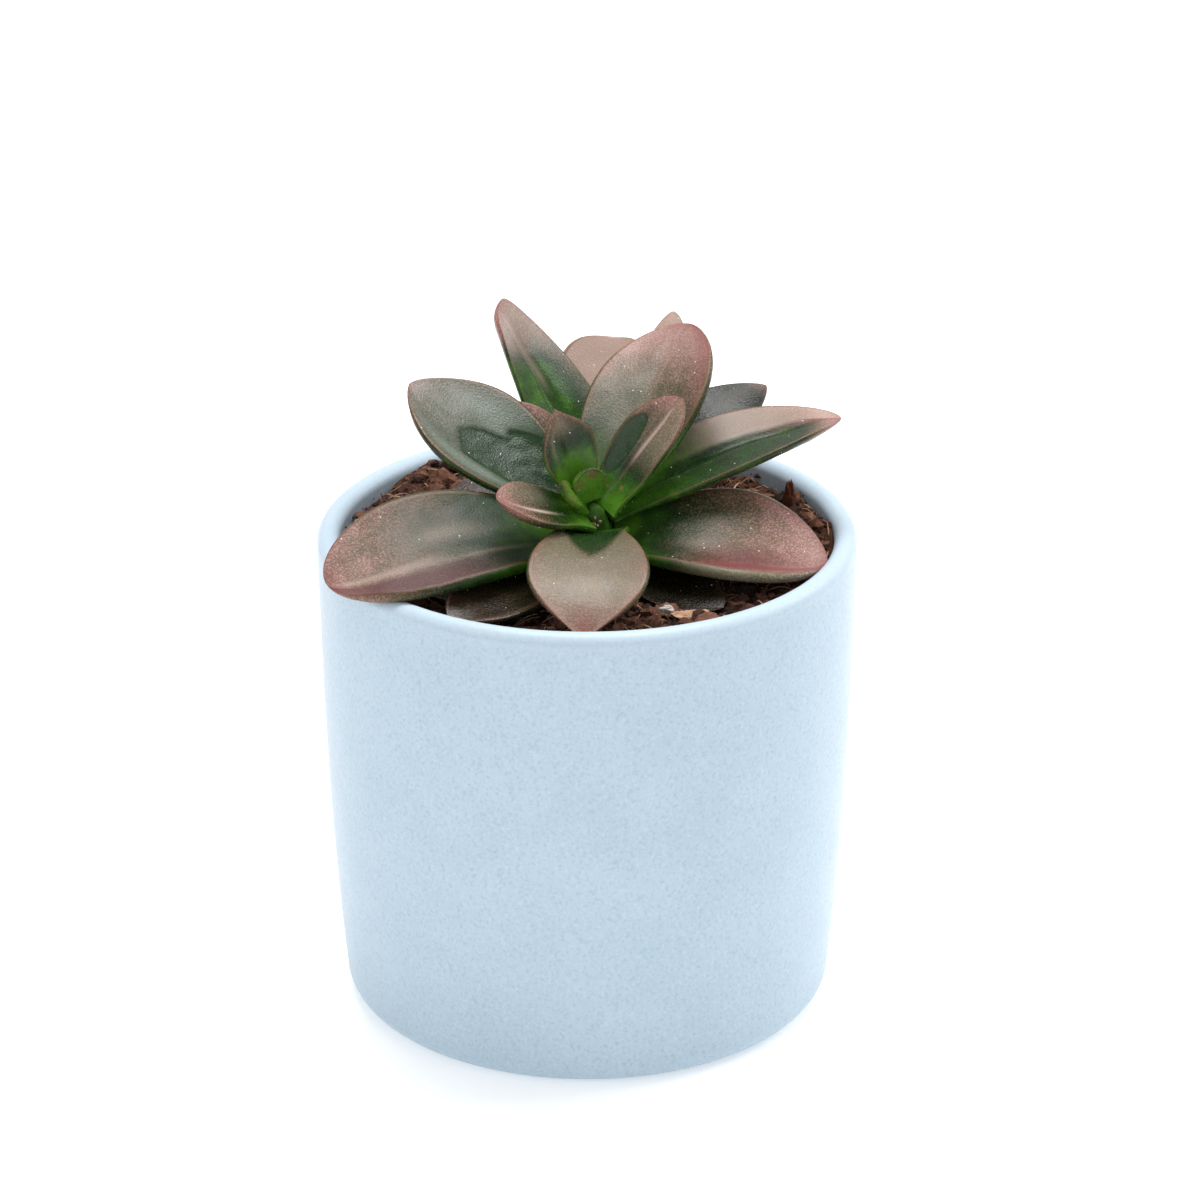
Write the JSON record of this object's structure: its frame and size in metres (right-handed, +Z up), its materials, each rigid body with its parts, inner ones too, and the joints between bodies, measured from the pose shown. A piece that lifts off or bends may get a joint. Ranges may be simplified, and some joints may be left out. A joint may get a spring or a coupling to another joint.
{
  "type": "potted succulent",
  "caption": "Small fleshy-leaved rosette succulent leaning forward in a round, slightly tapered glazed ceramic pot filled with dark potting soil.",
  "frame": {"origin": "centre of the flat underside of the pot", "axes": "+Z up along the pot's axis, -Y towards the side the plant leans to, +X to the right as seen from that side"},
  "size_m": [0.07, 0.07, 0.0894],
  "materials": {
    "glaze": "satin pale blue glaze with fine speckle",
    "peat": "matte dark reddish-brown potting soil",
    "stem_skin": "satin green stem",
    "leaf_skin": "satin olive green leaf turning mauve pink towards its tip",
    "bark": "rough bark chip",
    "pale_bark": "rough pale bark flake",
    "grit": "rough grit grain"
  },
  "bodies": {
    "root": {"pot": "glaze", "soil": "peat", "stem": "stem_skin", "leaf_left_low": "leaf_skin", "leaf_right_low": "leaf_skin", "leaf_front_low_left": "leaf_skin", "leaf_back_low_left": "leaf_skin", "leaf_back_low": "leaf_skin", "leaf_back_right": "leaf_skin", "leaf_back_left": "leaf_skin", "leaf_right_far": "leaf_skin", "leaf_right_upper": "leaf_skin", "leaf_left_behind": "leaf_skin", "leaf_left": "leaf_skin", "leaf_right": "leaf_skin", "leaf_back": "leaf_skin", "leaf_left_upper": "leaf_skin", "leaf_front": "leaf_skin", "leaf_inner_right": "leaf_skin", "leaf_inner_left": "leaf_skin", "leaf_inner_back": "leaf_skin", "leaf_bud_back": "leaf_skin", "leaf_bud_left": "leaf_skin", "chip_flake": "pale_bark", "chip_spike": "bark", "chip_left": "bark", "chip_right": "bark", "chip_back": "bark", "grit": "grit"}
  },
  "joints": []
}
